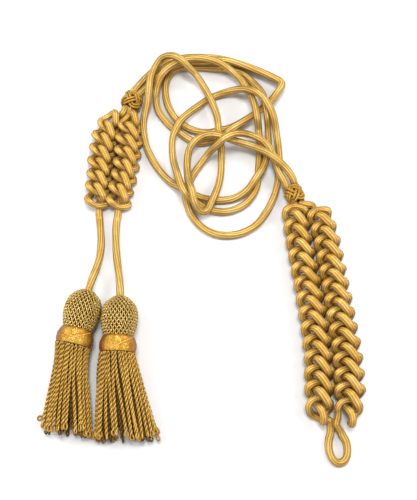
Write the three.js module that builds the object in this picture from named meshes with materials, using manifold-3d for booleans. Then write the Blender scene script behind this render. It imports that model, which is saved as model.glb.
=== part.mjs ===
// A gold dress cord laid out on a table, in millimetres, with +Z up.
// One cord is doubled: button loop, two chain plaits, a slider, two free runs in a loose coil,
// a second slider, two short chain plaits, two drops and two bullion tassels.
import * as THREE from "three";
import { mergeVertices } from "three/addons/utils/BufferGeometryUtils.js";
import Module from "manifold-3d";

const wasm = await Module();
wasm.setup();

// Sizes that can be set
const CORD = 4.8; // diameter of the covered cord
const GAP = 0.3; // clearance left between pieces that meet
const RIGHT_PLAIT_CORD = 4.95; // unit of the long plaits' link table
const LEFT_PLAIT_CORD = 4.6; // unit of the short plaits' link table, which are worked tighter
const LINK_PITCH = 2.1; // in units of the link table
const RIGHT_LINKS = 13;
const LEFT_LINKS = 6;
const RIGHT_PLAIT_ROLL = 20; // degrees, how far the chain lies on its side
const LEFT_PLAIT_ROLL = -30;
const RIGHT_SLIDER = { diameter: 13, length: 13.6, mouth: 11 };
const LEFT_SLIDER = { diameter: 14.8, length: 13.4, mouth: 11.4 };
const HEAD = { diameter: 25.2, length: 26.6 };
const BAND = { diameter: 25.4, length: 11.2 };
const SKIRT_LENGTH = 58;
const SKIRT_BEND = 0.14; // share of the length over which the skirt turns
const NECK_HALF_WIDTH = 12.6;
const NECK_HALF_DEPTH = 12;
const HEM_HALF_DEPTH = 7.2;
const LEFT_HEM_HALF_WIDTH = 17.5;
const RIGHT_HEM_HALF_WIDTH = 22;
const LEFT_FLARE = 2.6; // power of the share of the length by which the skirt widens
const RIGHT_FLARE = 1.8;
const LOCKS = 9; // locks of bullion round one skirt
const LOCK_RADIUS = 3.8;
const LOCK_FALL = 4; // how much shorter every second lock is
const CORD_SIDES = 8;
const PLAIT_SIDES = 5;
const LOCK_SIDES = 5;
const LOCK_STEPS = 3;
const CORE_SIDES = 10;
const CORE_STEPS = 3;
const ROUND_SIDES = 16;
const FLAT = Math.cos(Math.PI / ROUND_SIDES); // middle of a facet, as a share of the corner radius
const LAYOUT_CENTRE = [-3.1, -13.9]; // middle of the outline without the two free runs

const material = (colour, roughness) => new THREE.MeshStandardMaterial({ color: colour, roughness });
const COLOURS = {
  cord: 0xc99a3c,
  plait: 0xd0a040,
  slider: 0xb8892f,
  head: 0xa88438,
  band: 0xdd9a32,
  skirt: 0xb08336,
};

const group = new THREE.Group();
group.position.set(-LAYOUT_CENTRE[0], -LAYOUT_CENTRE[1], 0);

function addPiece(name, geometry, colour, roughness = 0.6) {
  const piece = new THREE.Mesh(geometry, material(colour, roughness));
  piece.name = name;
  group.add(piece);
}

const vector = (row) => new THREE.Vector3(row[0], row[1], row[2]);

// A smooth line whose even steps fall on the listed points.
class ListedLine extends THREE.CatmullRomCurve3 {
  constructor(points) {
    super(points, false, "catmullrom", 0.5);
  }
  getPointAt(share, target) {
    return this.getPoint(share, target);
  }
  getTangentAt(share, target) {
    return this.getTangent(share, target);
  }
}

// A round tube through the points, as thick at each point as the list says.
function tubeThrough(points, diameters, sides) {
  const line = new ListedLine(points);
  const section = new THREE.Shape();
  for (let i = 0; i < sides; i++) {
    const turn = (2 * Math.PI * i) / sides;
    const corner = [0.5 * Math.cos(turn), 0.5 * Math.sin(turn)];
    if (i === 0) section.moveTo(...corner);
    else section.lineTo(...corner);
  }
  const tube = new THREE.ExtrudeGeometry(section, {
    steps: points.length - 1,
    extrudePath: line,
    bevelEnabled: false,
  });
  const tangents = points.map((_, i) => line.getTangent(i / (points.length - 1)));
  const corners = tube.getAttribute("position");
  const corner = new THREE.Vector3();
  const arm = new THREE.Vector3();
  for (let i = 0; i < corners.count; i++) {
    corner.fromBufferAttribute(corners, i);
    let ring = 0;
    let best = Infinity;
    points.forEach((centre, k) => {
      arm.subVectors(corner, centre);
      const miss = Math.abs(arm.length() - 0.5) + Math.abs(arm.dot(tangents[k]));
      if (miss < best) {
        best = miss;
        ring = k;
      }
    });
    arm.subVectors(corner, points[ring]).multiplyScalar(diameters[ring]);
    corner.addVectors(points[ring], arm);
    corners.setXYZ(i, corner.x, corner.y, corner.z);
  }
  return tube;
}

function cordThrough(rows) {
  const points = rows.map(vector);
  return tubeThrough(points, points.map(() => CORD), CORD_SIDES);
}

// Chain plait
// One link, in units of its plait's cord: a bar over the top, then a loop round the far side.
// Columns: along the plait, across it, up from its middle, thickness.
const LINK = [
  [-0.02, 0.66, -0.3, 0.74],
  [0.06, 0.68, 0.55, 0.84],
  [0.45, 0.42, 1.02, 1.15],
  [1.65, -0.42, 1.02, 1.15],
  [2.04, -0.68, 0.55, 0.84],
  [2.1, -0.66, -0.35, 0.74],
  [3.35, -0.78, -1.16, 0.86],
  [4.05, -1.58, -0.62, 0.97],
  [4.78, -1.48, 0, 0.92],
  [5.22, 0, -0.12, 0.8],
  [4.78, 1.48, 0, 0.92],
  [4.05, 1.58, -0.62, 0.97],
  [3.35, 0.78, -1.16, 0.86],
];
// The first loop, then the bight that hangs from it. It is entered from below,
// on the near side or after crossing from the far side.
const ENTRY_NEAR = [
  [-2.3, -1.2, -1.3, 0.95],
  [-1.5, -1.1, -1.2, 0.9],
];
const ENTRY_FAR = [
  [-2, 1.6, -0.9, 0.95],
  [-1.75, 0.85, -1.3, 0.9],
  [-1.45, 0.05, -1.4, 0.85],
  [-1.15, -0.65, -1.35, 0.85],
];
const ENTRY_TOP = [
  [-2.3, 0.1, -1, 0.95],
  [-1.75, -0.25, -1.4, 0.9],
  [-1.25, -0.7, -1.4, 0.85],
];
const FIRST_LOOP = [
  [-0.7, -1.15, -0.95, 0.85],
  [-0.1, -1.45, -0.5, 0.85],
  [0.6, -1.2, -0.1, 0.76],
  [1, 0, -0.1, 0.76],
  [0.6, 1.2, -0.1, 0.76],
  [-0.1, 1.45, -0.5, 0.85],
  [-0.7, 1.1, -0.75, 0.85],
  [-1.35, 0.6, -0.45, 0.85],
  [-1.95, 0.25, -0.25, 0.95],
  [-2.2, 0.1, 0.35, 1],
  [-1.75, -0.05, 0.85, 1],
  [-1, -0.25, 0.95, 1],
  [-0.4, -0.5, 0.7, 0.85],
  [0, -0.5, -0.35, 0.74],
];
const LOOP_ROWS = LINK.slice(6); // the loop's part of one link

// Places a row of a link table on the plait's middle line.
function plaitPlace(axis, reach, row, unit, roll, width) {
  const along = row[0] * unit;
  const share = THREE.MathUtils.clamp(along / reach, 0, 1);
  const base = axis.getPointAt(share);
  const ahead = axis.getTangentAt(share).setZ(0).normalize();
  base.addScaledVector(ahead, along - share * reach);
  const side = new THREE.Vector3(ahead.y, -ahead.x, 0);
  const across = row[1] * THREE.MathUtils.lerp(width[0], width[1], share);
  const turn = THREE.MathUtils.degToRad(roll);
  base.addScaledVector(side, unit * (across * Math.cos(turn) + row[2] * Math.sin(turn)));
  base.z += unit * (row[2] * Math.cos(turn) - across * Math.sin(turn));
  base.z = Math.max(base.z, (row[3] * unit) / 2); // the cord flattens onto the table
  return base;
}

function chainPlait(plait) {
  const { unit, roll, width, links } = plait;
  const axis = new THREE.CatmullRomCurve3(plait.middle.map(vector));
  const reach = axis.getLength();
  const rows = [...plait.entry, ...FIRST_LOOP];
  LOOP_ROWS.forEach((row) => rows.push([row[0] - LINK_PITCH, row[1], row[2], row[3]]));
  for (let link = 0; link < links; link++)
    LINK.forEach((row) => rows.push([row[0] + link * LINK_PITCH, row[1], row[2], row[3]]));
  // The last link stops after its bar, goes down through the last loop and leaves.
  rows.length -= LOOP_ROWS.length;
  const points = plait.lead.map(vector);
  const diameters = plait.lead.map(() => CORD);
  rows.forEach((row) => {
    points.push(plaitPlace(axis, reach, row, unit, roll, width));
    diameters.push(row[3] * unit);
  });
  plait.tail.forEach((row) => {
    points.push(vector(row));
    diameters.push(row[3] ?? CORD);
  });
  return tubeThrough(points, diameters, PLAIT_SIDES);
}

const RIGHT_PLAIT = {
  unit: RIGHT_PLAIT_CORD,
  roll: RIGHT_PLAIT_ROLL,
  width: [1.06, 0.87],
  links: RIGHT_LINKS,
};
const LEFT_PLAIT = {
  unit: LEFT_PLAIT_CORD,
  roll: LEFT_PLAIT_ROLL,
  width: [1.1, 0.86],
  links: LEFT_LINKS,
};
addPiece("right_plait_left", chainPlait({
  ...RIGHT_PLAIT,
  entry: ENTRY_FAR,
  middle: [
    [75, -109.5, 9], [75.5, -95, 9], [75.5, -80, 9], [74.5, -64, 9], [72.5, -48, 9],
    [70, -30, 9], [67.3, -12.5, 9], [64.6, 5, 9], [62.9, 19, 9], [62.2, 30, 9],
  ],
  lead: [[81.6, -124, 2.8]],
  tail: [[63.4, 26.5, 6, 3.6], [62.6, 30.3, 6.3, 4.2], [61.9, 32.2, 6.4, 4.6]],
}), COLOURS.plait);
addPiece("right_plait_right", chainPlait({
  ...RIGHT_PLAIT,
  entry: ENTRY_NEAR,
  middle: [
    [94.5, -111, 9], [95.3, -100, 9], [95.3, -87.5, 9], [94.5, -72, 9], [92.5, -56, 9],
    [90.3, -38.5, 9], [87.8, -22, 9], [85.5, -5.5, 9], [83.1, 10, 9], [79.4, 24, 9], [76.8, 31, 9],
  ],
  lead: [[88.3, -126.4, 2.8]],
  tail: [[76.4, 27, 4.5, 3.6], [74.6, 31.5, 5, 4.2], [71, 31.8, 6, 4.6], [67.5, 32.6, 6.4, 4.6]],
}), COLOURS.plait);
addPiece("left_plait_left", chainPlait({
  ...LEFT_PLAIT,
  entry: ENTRY_NEAR,
  middle: [
    [-72.5, 93, 7.2], [-75.2, 83, 7.2], [-76.7, 73.5, 7.2], [-77.8, 64, 7.2], [-78.3, 52, 7.2],
    [-79.3, 41, 7.2], [-79, 28, 7.2],
  ],
  lead: [[-61.7, 106.7, 7.2], [-64.3, 102.8, 5.6]],
  tail: [[-79, 41, 3, 3.4], [-78.9, 34.5, 2.1, 3.8], [-78.8, 27.5, 2.4, 4.4], [-78.6, 24.5, 2.4, 4.6]],
}), COLOURS.plait);
addPiece("left_plait_right", chainPlait({
  ...LEFT_PLAIT,
  entry: ENTRY_TOP,
  middle: [
    [-57.3, 92.5, 7.2], [-57.9, 81.5, 7.2], [-58.7, 69, 7.2], [-59.8, 58, 7.2], [-61.4, 49.5, 7.2],
    [-63.3, 39.5, 7.2], [-64.4, 27.5, 7.2],
  ],
  lead: [[-57.9, 104.8, 7], [-58.4, 102.6, 6]],
  tail: [[-63.8, 40, 3, 3.4], [-64.6, 33.5, 2.1, 3.8], [-65.2, 26.5, 2.4, 4.4], [-65.5, 23.5, 2.4, 4.6]],
}), COLOURS.plait);

// Button loop: the cord doubled back between the two long plaits.
addPiece("button_loop", cordThrough([
  [81.7, -124.9, 2.7], [81.4, -127.7, 2.4], [80.4, -131, 2.4], [79.9, -135.5, 2.4], [80.6, -140.4, 2.4],
  [82.9, -144.7, 2.4], [86.3, -146.6, 2.4], [89.8, -145.3, 2.4], [92, -141.2, 2.4], [92.2, -136, 2.4],
  [91.2, -132, 2.4], [89.6, -129.4, 2.4], [88.5, -127, 2.7],
]), COLOURS.cord);

// The two free runs of the coil, from the right slider to the left one.
const RUN_A = [
  [56.5, 45.5, 6.5], [55, 49, 7.5], [51, 55.5, 9], [48.5, 64, 8], [45, 73, 9.5], [38, 80.5, 10],
  [29, 83.5, 11.5], [20, 81, 18.5], [12.5, 77, 21], [6.5, 73.5, 16], [-0.5, 70.5, 6.5],
  [-7.5, 62, 2.5], [-13, 52.5, 2.5], [-16.5, 43.5, 2.5], [-15.5, 34, 2.5], [-11.5, 24, 2.5],
  [-3, 15, 2.5], [8, 10.5, 2.5], [21, 11, 2.5], [33, 17, 2.5], [42, 28, 2.5], [48, 41, 2.5],
  [51.5, 56.5, 2.5], [52, 72.5, 2.5], [50, 86, 6.5], [47, 96, 15.5], [43, 103.5, 19],
  [39, 109.5, 19], [33.5, 115, 17], [26, 119.5, 12], [15.5, 121.5, 5], [2.5, 118, 2.5],
  [-8.5, 109, 4.5], [-18, 99, 8], [-23, 91.5, 8.5], [-26.5, 82, 6.5], [-26, 68.5, 5],
  [-22, 51.5, 13], [-18, 40, 15], [-12, 34.5, 10.5], [-5.5, 31.5, 5], [4, 28.5, 2.5],
  [15.5, 28.5, 2.5], [27, 34, 2.5], [34.5, 45, 2.5], [36.5, 58.5, 2.5], [37.5, 75.5, 2.5],
  [37, 89.5, 5.5], [35.5, 96, 13.5], [33.5, 107, 13.5], [30, 120, 8], [24.5, 130.5, 5.5],
  [18.5, 135.5, 8], [12, 139.5, 10.5], [3.5, 142, 13.5], [-7.5, 144, 13.5], [-19, 142.5, 13.5],
  [-27, 138.5, 13], [-33.5, 133, 12], [-37.5, 127.5, 8], [-39.5, 118.5, 2.5], [-37.5, 107, 2.5],
  [-30, 96.5, 2.5], [-19.5, 87.5, 2.5], [-8.5, 81.5, 2.5], [2, 83, 2.5], [9.5, 85.5, 3.5],
  [17.5, 90, 8], [32, 100, 8], [44.5, 110, 8], [51.5, 119.5, 8], [54.5, 125.5, 8], [52.5, 129, 8],
  [40, 135.5, 8], [25, 142, 8], [12.5, 145.5, 8], [-2, 144.5, 8], [-16, 144.5, 8], [-26.5, 141, 8],
  [-34, 136.5, 7], [-42, 129.5, 3], [-47, 124.5, 4.5], [-51.2, 118.4, 6.7],
];
const RUN_B = [
  [61.7, 48.3, 6.8], [60, 52, 9], [55.5, 57.5, 11.5], [49, 62.5, 15], [42, 69, 13], [33, 75, 9],
  [23.5, 78, 10], [15.5, 78.5, 14], [9.5, 80.5, 15.5], [2.5, 83, 13], [-4, 83.5, 9],
  [-10, 79.5, 9], [-14.5, 73, 5.5], [-15.5, 61.5, 6.5], [-14.5, 49, 11.5], [-11.5, 38.5, 17],
  [-10, 31, 16], [-7, 27, 11], [-4, 25.5, 9], [-0.5, 27.5, 9], [2, 32.5, 9.5], [5.5, 41.5, 7],
  [8.5, 53.5, 3], [9.5, 67.5, 3], [9, 77, 9], [7.5, 87, 9.5], [6.5, 99.5, 6.5], [3, 110, 8],
  [-2, 120.5, 8.5], [-8.5, 130.5, 10.5], [-15, 135, 16.5], [-20.5, 139.5, 19.5], [-27.5, 144, 17],
  [-34.5, 146.5, 10], [-39.5, 140.5, 9], [-43, 130, 10], [-44, 120.5, 11.5], [-45.5, 111.5, 6.5],
  [-48.5, 96.5, 2.5], [-45.5, 77.5, 2.5], [-37.5, 62, 2.5], [-28, 50.5, 3.5], [-19.5, 43.5, 9],
  [-12, 40, 7], [-4, 38, 3], [7.5, 36.5, 2.5], [18.5, 38, 2.5], [28, 43.5, 5], [34.5, 51.5, 9],
  [40.5, 62, 7], [44, 76.5, 2.5], [44, 89.5, 4.5], [43, 97.5, 12], [41.5, 108, 13.5],
  [39, 118, 10.5], [33.5, 128.5, 5], [26.5, 137, 2.5], [18, 140, 2.5], [5.5, 142, 2.5],
  [-8.5, 143, 2.5], [-19.5, 142.5, 2.5], [-26.5, 140, 2.5], [-31, 133.5, 2.5], [-32.5, 123, 2.5],
  [-30, 110.5, 2.5], [-22.5, 98.5, 2.5], [-12, 91.5, 2.5], [-1, 89.5, 2.5], [9, 91.5, 2.5],
  [18, 94, 2.5], [32.5, 103, 2.5], [45, 113, 2.5], [52, 122.5, 2.5], [55.5, 128.5, 2.5],
  [53, 132.5, 2.5], [40.5, 138.5, 2.5], [25.5, 145, 2.5], [10.5, 150, 2.5], [-5, 151.5, 2.5],
  [-18.5, 151, 2.5], [-29.5, 148, 2.5], [-38, 143, 2.5], [-45.5, 136, 2.5], [-50.5, 129.5, 4],
  [-56.1, 120.4, 6.7],
];
addPiece("cord_run_a", cordThrough(RUN_A), COLOURS.cord);
addPiece("cord_run_b", cordThrough(RUN_B), COLOURS.cord);

// Drops: the two cords from the short plaits to the tassels.
addPiece("drop_cord_left", cordThrough([
  [-78.4, 23.8, 2.4], [-77.5, 16, 2.4], [-76.5, 6, 2.4], [-77, -4, 2.4], [-79, -14, 3.6],
  [-81, -23, 8], [-82.4, -31, 12.2],
]), COLOURS.cord);
addPiece("drop_cord_right", cordThrough([
  [-65.7, 22.8, 2.4], [-66.3, 15, 2.4], [-66, 4, 2.4], [-64.8, -8, 2.4], [-63, -19, 4],
  [-61.6, -28, 8.5], [-60.6, -35.2, 12.2],
]), COLOURS.cord);

// A turned body on a level axis, lying on a facet. Columns: share of length, share of radius.
function turnedBody(profile, size, start, direction) {
  const radius = size.diameter / 2;
  const outline = [new THREE.Vector2(0, 0)];
  profile.forEach(([along, out]) => outline.push(new THREE.Vector2(out * radius, along * size.length)));
  outline.push(new THREE.Vector2(0, size.length));
  const body = new THREE.LatheGeometry(outline, ROUND_SIDES, Math.PI / ROUND_SIDES);
  const axis = new THREE.Vector3(direction[0], direction[1], 0).normalize();
  const up = new THREE.Vector3(0, 0, 1);
  const side = new THREE.Vector3().crossVectors(axis, up);
  const turn = new THREE.Matrix4().makeBasis(side, axis, up);
  turn.setPosition(start[0], start[1], radius * FLAT);
  return body.applyMatrix4(turn);
}

const SLIDER_PROFILE = (mouth) => [
  [0, mouth],
  [0.18, 0.5 + mouth / 2],
  [0.36, 1],
  [0.64, 1],
  [0.82, 0.5 + mouth / 2],
  [1, mouth],
];
const HEAD_PROFILE = [
  [0, 0.34],
  [0.07, 0.56],
  [0.2, 0.83],
  [0.36, 0.96],
  [0.52, 1],
  [0.68, 0.98],
  [0.82, 0.92],
  [0.93, 0.85],
  [1, 0.8],
];
const BAND_PROFILE = [
  [0, 0.8],
  [0.15, 0.9],
  [0.45, 1],
  [0.8, 1],
  [1, 0.93],
];

const RIGHT_SLIDER_AXIS = [-0.38, 0.925];
const LEFT_SLIDER_AXIS = [0.41, 0.91];
addPiece("right_slider", turnedBody(
  SLIDER_PROFILE(RIGHT_SLIDER.mouth / RIGHT_SLIDER.diameter),
  RIGHT_SLIDER, [64.4, 33.4], RIGHT_SLIDER_AXIS,
), COLOURS.slider, 0.7);
addPiece("left_slider", turnedBody(
  SLIDER_PROFILE(LEFT_SLIDER.mouth / LEFT_SLIDER.diameter),
  LEFT_SLIDER, [-59.6, 106.6], LEFT_SLIDER_AXIS,
), COLOURS.slider, 0.7);

// Skirt: locks of bullion round a core, fused into one body.
function tapered(sides, steps, place) {
  const body = new THREE.CylinderGeometry(1, 1, 1, sides, steps);
  const corners = body.getAttribute("position");
  for (let i = 0; i < corners.count; i++) {
    const spot = place(0.5 - corners.getY(i), corners.getX(i), corners.getZ(i));
    corners.setXYZ(i, spot.x, spot.y, spot.z);
  }
  return body;
}

function solid(geometry) {
  geometry.deleteAttribute("normal");
  geometry.deleteAttribute("uv");
  const merged = mergeVertices(geometry, 1e-3);
  return new wasm.Manifold(new wasm.Mesh({
    numProp: 3,
    vertProperties: merged.getAttribute("position").array,
    triVerts: new Uint32Array(merged.index.array),
  }));
}

function geometryOf(body) {
  const mesh = body.getMesh();
  const geometry = new THREE.BufferGeometry();
  geometry.setAttribute("position", new THREE.BufferAttribute(mesh.vertProperties, 3));
  geometry.setIndex(new THREE.BufferAttribute(mesh.triVerts, 1));
  const flat = geometry.toNonIndexed();
  flat.computeVertexNormals();
  return flat;
}

function bullionSkirt(start, neckDirection, hemDirection, hemHalfWidth, flare) {
  const neck = new THREE.Vector3(start[0], start[1], 0);
  const fromNeck = new THREE.Vector3(neckDirection[0], neckDirection[1], 0).normalize();
  const toHem = new THREE.Vector3(hemDirection[0], hemDirection[1], 0).normalize();
  const bend = neck.clone().addScaledVector(fromNeck, SKIRT_BEND * SKIRT_LENGTH);
  const hem = bend.clone().addScaledVector(toHem, (1 - SKIRT_BEND) * SKIRT_LENGTH);
  const line = new THREE.QuadraticBezierCurve3(neck, bend, hem);
  const up = new THREE.Vector3(0, 0, 1);
  const settle = LOCK_RADIUS * (1 - Math.cos(Math.PI / LOCK_SIDES)); // lowest lock lies on its facet
  const section = (share) => {
    const ahead = line.getTangent(share);
    const depth = THREE.MathUtils.lerp(NECK_HALF_DEPTH, HEM_HALF_DEPTH, share);
    const spread = share ** flare;
    return {
      side: new THREE.Vector3(-ahead.y, ahead.x, 0),
      halfWidth: THREE.MathUtils.lerp(NECK_HALF_WIDTH, hemHalfWidth, spread) - LOCK_RADIUS,
      halfDepth: depth - LOCK_RADIUS,
      centre: line.getPoint(share).setZ(depth - settle),
    };
  };
  const coreShare = 1 - LOCK_FALL / SKIRT_LENGTH;
  let body = solid(tapered(CORE_SIDES, CORE_STEPS, (share, x, z) => {
    const { side, halfWidth, halfDepth, centre } = section(share * coreShare);
    return centre.addScaledVector(side, x * halfWidth).addScaledVector(up, z * halfDepth);
  }));
  for (let lock = 0; lock < LOCKS; lock++) {
    const turn = (2 * Math.PI * lock) / LOCKS - Math.PI / 2;
    const reach = 1 - ((lock % 2) * LOCK_FALL) / SKIRT_LENGTH;
    body = body.add(solid(tapered(LOCK_SIDES, LOCK_STEPS, (share, x, z) => {
      const { side, halfWidth, halfDepth, centre } = section(share * reach);
      return centre
        .addScaledVector(side, Math.cos(turn) * halfWidth + x * LOCK_RADIUS)
        .addScaledVector(up, Math.sin(turn) * halfDepth + z * LOCK_RADIUS);
    })));
  }
  return geometryOf(body);
}

// A tassel: crocheted head, satin band and skirt, one after the other down its axis.
function addTassel(name, start, headDirection, hemDirection, hemHalfWidth, flare) {
  const axis = new THREE.Vector2(headDirection[0], headDirection[1]).normalize();
  const down = (distance) => [start[0] + axis.x * distance, start[1] + axis.y * distance];
  const bandStart = HEAD.length + GAP;
  const skirtStart = bandStart + BAND.length + GAP;
  addPiece(
    "tassel_head_" + name,
    turnedBody(HEAD_PROFILE, HEAD, start, headDirection),
    COLOURS.head,
    0.75,
  );
  addPiece(
    "tassel_band_" + name,
    turnedBody(BAND_PROFILE, BAND, down(bandStart), headDirection),
    COLOURS.band,
    0.4,
  );
  addPiece(
    "tassel_skirt_" + name,
    bullionSkirt(down(skirtStart), headDirection, hemDirection, hemHalfWidth, flare),
    COLOURS.skirt,
    0.7,
  );
}
addTassel("left", [-83, -32.4], [-0.22, -0.975], [-0.015, -1], LEFT_HEM_HALF_WIDTH, LEFT_FLARE);
addTassel("right", [-60.5, -36.6], [-0.02, -1], [0.14, -1], RIGHT_HEM_HALF_WIDTH, RIGHT_FLARE);

export default group;
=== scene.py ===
# A gold dress cord laid out on a pale table: plaits, sliders, a loose coil and two bullion tassels.
import math
import random

import bpy
import numpy as np
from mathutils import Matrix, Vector


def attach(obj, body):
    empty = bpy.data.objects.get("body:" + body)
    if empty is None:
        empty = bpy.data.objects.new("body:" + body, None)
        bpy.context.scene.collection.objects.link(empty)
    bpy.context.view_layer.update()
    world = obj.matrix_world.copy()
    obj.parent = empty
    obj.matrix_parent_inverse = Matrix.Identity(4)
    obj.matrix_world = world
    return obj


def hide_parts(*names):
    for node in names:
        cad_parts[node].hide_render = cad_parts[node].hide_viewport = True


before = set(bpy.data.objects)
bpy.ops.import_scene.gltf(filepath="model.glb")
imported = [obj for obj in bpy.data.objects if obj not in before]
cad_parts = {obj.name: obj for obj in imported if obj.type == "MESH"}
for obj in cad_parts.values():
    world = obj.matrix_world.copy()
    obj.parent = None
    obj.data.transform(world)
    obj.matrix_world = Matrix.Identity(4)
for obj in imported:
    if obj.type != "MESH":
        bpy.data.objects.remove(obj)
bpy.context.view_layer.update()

MM = 0.001
SHIFT = np.array([3.1, 13.9, 0.0])  # from the layout's own zero to the part's

# Sizes in millimetres. Where no note says otherwise they are those of the solids.
CORD = 4.8
FREE_CORD = 5.35  # the cord as it is seen, its soft cover fuller than the plain tube
CORD_RIBS = 8
SIDES_PER_RIB = 4
RIB_DEPTH = 0.13  # share of the cord's radius
COIL_STEP = 1.3  # length of one mesh step along the coil
PLAIT_STEP = 0.75
FULLNESS_HEIGHTS = [3.2, 8.0]  # the plaited cord is fuller than its plain tube,
FULLNESS = [1.34, 1.13]  # most of all low down, under the bars
FULLEST = 1.15  # share of the tube's radius that it never passes
RIGHT_PLAIT_CORD = 4.95
LEFT_PLAIT_CORD = 4.6
LINK_PITCH = 2.1
RIGHT_LINKS = 13
LEFT_LINKS = 6
RIGHT_PLAIT_ROLL = 20
LEFT_PLAIT_ROLL = -30
RIGHT_SLIDER = {"diameter": 13.0, "length": 13.6, "mouth": 11.0}
LEFT_SLIDER = {"diameter": 14.8, "length": 13.4, "mouth": 11.4}
KNOT_LEADS = 3
KNOT_BIGHTS = 5
KNOT_PASSES = 2
KNOT_THREAD = 1.9
KNOT_LANE = 0.98  # distance between two passes, in threads
KNOT_DEPTH = 0.55  # depth of the thread's middle below the outline, in threads
KNOT_WEAVE = 0.42  # rise and fall of the thread at its crossings, in threads
HEAD = {"diameter": 25.2, "length": 26.6}
BAND = {"diameter": 25.4, "length": 11.2}
GAP = 0.3
STITCH = 2.75  # width of one crochet stitch
STITCH_ROW = 2.1  # height of one crochet row
STITCH_THREAD = 0.96
STITCH_REACH = 0.46  # reach of a stitch above and below its row, in rows
BAND_SIDES = 160
BAND_WAVES = 40
CROSSING_RADIUS = 0.24  # of the thread that crosses the band
SKIRT_LENGTH = 58.0
SKIRT_BEND = 0.14
NECK_HALF_WIDTH = 12.6
NECK_HALF_DEPTH = 12.0
HEM_HALF_DEPTH = 7.2
LEFT_HEM_HALF_WIDTH = 17.5
RIGHT_HEM_HALF_WIDTH = 22.0
LEFT_FLARE = 2.6  # power of the share of the length by which the skirt widens
RIGHT_FLARE = 1.8
LEFT_WAIST = 1.2  # how far the strands draw in half way down
RIGHT_WAIST = 0.5
PLY = 1.16  # thickness of one of a fringe strand's two plies
PLY_LAY = 6.4  # length of one turn of the two plies
PLY_SPREAD = 1.14  # distance between the plies' middles, in plies
LOOP_SPREAD = 0.6  # how much further apart they are in the end loop
END_LOOP = 3.4  # length of the open loop at a strand's free end
CORE_INSET = 3.4  # from the skirt's outline to its dark sheet of painted shade
OUTER_STRANDS = 31
INNER_STRANDS = 22
STRAND_REACH = 1.035  # share of the skirt's length that the longest strands reach
STRAND_UNEVEN = 0.055  # share by which the others fall short
STRAND_SWAY = 0.45
FLAT = math.cos(math.pi / 16)  # the turned solids lie on a facet
LOWEST = 0.02  # nothing goes through the table
CAP_REACH = 0.35  # share of the radius by which a tube's rounded end stands out
CAP_POINT = 0.02

TABLE_HALF = 3  # in metres, as the camera's and the lamps' measures are
TABLE_TONE = 0.72
ROOM_LIGHT = 0.5

CAMERA_SPOT = (0.0031, -0.1272, 0.5264)
CAMERA_AIM = (0.0031, 0.0139, 0.0)
CAMERA_LENS = 54.9
SENSOR_WIDTH = 36


# Camera

def look_from(spot, aim, lens):
    """The camera of the photograph."""
    data = bpy.data.cameras.new("camera")
    camera = bpy.data.objects.new("camera", data)
    bpy.context.scene.collection.objects.link(camera)
    camera.location = spot
    direction = Vector(aim) - Vector(spot)
    camera.rotation_euler = direction.to_track_quat("-Z", "Y").to_euler()
    data.lens = lens
    data.sensor_width = SENSOR_WIDTH
    data.clip_start = 0.01
    data.clip_end = 20
    bpy.context.scene.camera = camera


look_from(CAMERA_SPOT, CAMERA_AIM, CAMERA_LENS)


# Lines and tubes

def smooth_line(points, steps):
    """A smooth line through the points, with that many steps between two of them."""
    rows = np.array(points, float)
    rows = np.vstack([2 * rows[0] - rows[1], rows, 2 * rows[-1] - rows[-2]])
    t = np.linspace(0, 1, steps, endpoint=False)[:, None]
    before, start, end, after = rows[:-3], rows[1:-2], rows[2:-1], rows[3:]
    pieces = []
    for a, b, c, d in zip(before, start, end, after):
        pieces.append(b + 0.5 * t * (c - a + t * (2 * a - 5 * b + 4 * c - d + t * (3 * (b - c) + d - a))))
    return np.vstack([*pieces, rows[-2]])


def lengths_along(line):
    """The length from the line's start to each of its points."""
    return np.concatenate([[0], np.cumsum(np.linalg.norm(np.diff(line[:, :3], axis=0), axis=1))])


def even_line(line, step):
    """The same line with its points a step apart."""
    along = lengths_along(line)
    count = max(2, int(round(along[-1] / step)) + 1)
    spots = np.linspace(0, along[-1], count)
    return np.stack([np.interp(spots, along, line[:, k]) for k in range(line.shape[1])], axis=1)


def tucked(line, radii, tucks):
    """The line made longer at either end, a little thinner there, to run into what it meets."""
    start, end = tucks
    first, last = line[0] - line[1], line[-1] - line[-2]
    first, last = first / np.linalg.norm(first), last / np.linalg.norm(last)
    radii = np.broadcast_to(radii, len(line))
    if start:
        line = np.vstack([line[0] + first * start, line[0] + first * 0.2, line])
        radii = np.concatenate([[0.95 * radii[0]] * 2, radii])
    if end:
        line = np.vstack([line, line[-1] + last * 0.2, line[-1] + last * end])
        radii = np.concatenate([radii, [0.95 * radii[-1]] * 2])
    return line, radii


def frames_along(line):
    """Directions along and across the line that turn no more than it bends."""
    ahead = np.gradient(line, axis=0)
    ahead /= np.linalg.norm(ahead, axis=1)[:, None]
    first = np.cross(ahead[0], (0, 0, 1.0))
    if np.linalg.norm(first) < 0.1:
        first = np.cross(ahead[0], (0, 1.0, 0))
    across = np.empty_like(line)
    across[0] = first / np.linalg.norm(first)
    for i in range(1, len(line)):
        arm = across[i - 1] - ahead[i] * np.dot(across[i - 1], ahead[i])
        across[i] = arm / np.linalg.norm(arm)
    return ahead, across, np.cross(ahead, across)


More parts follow.
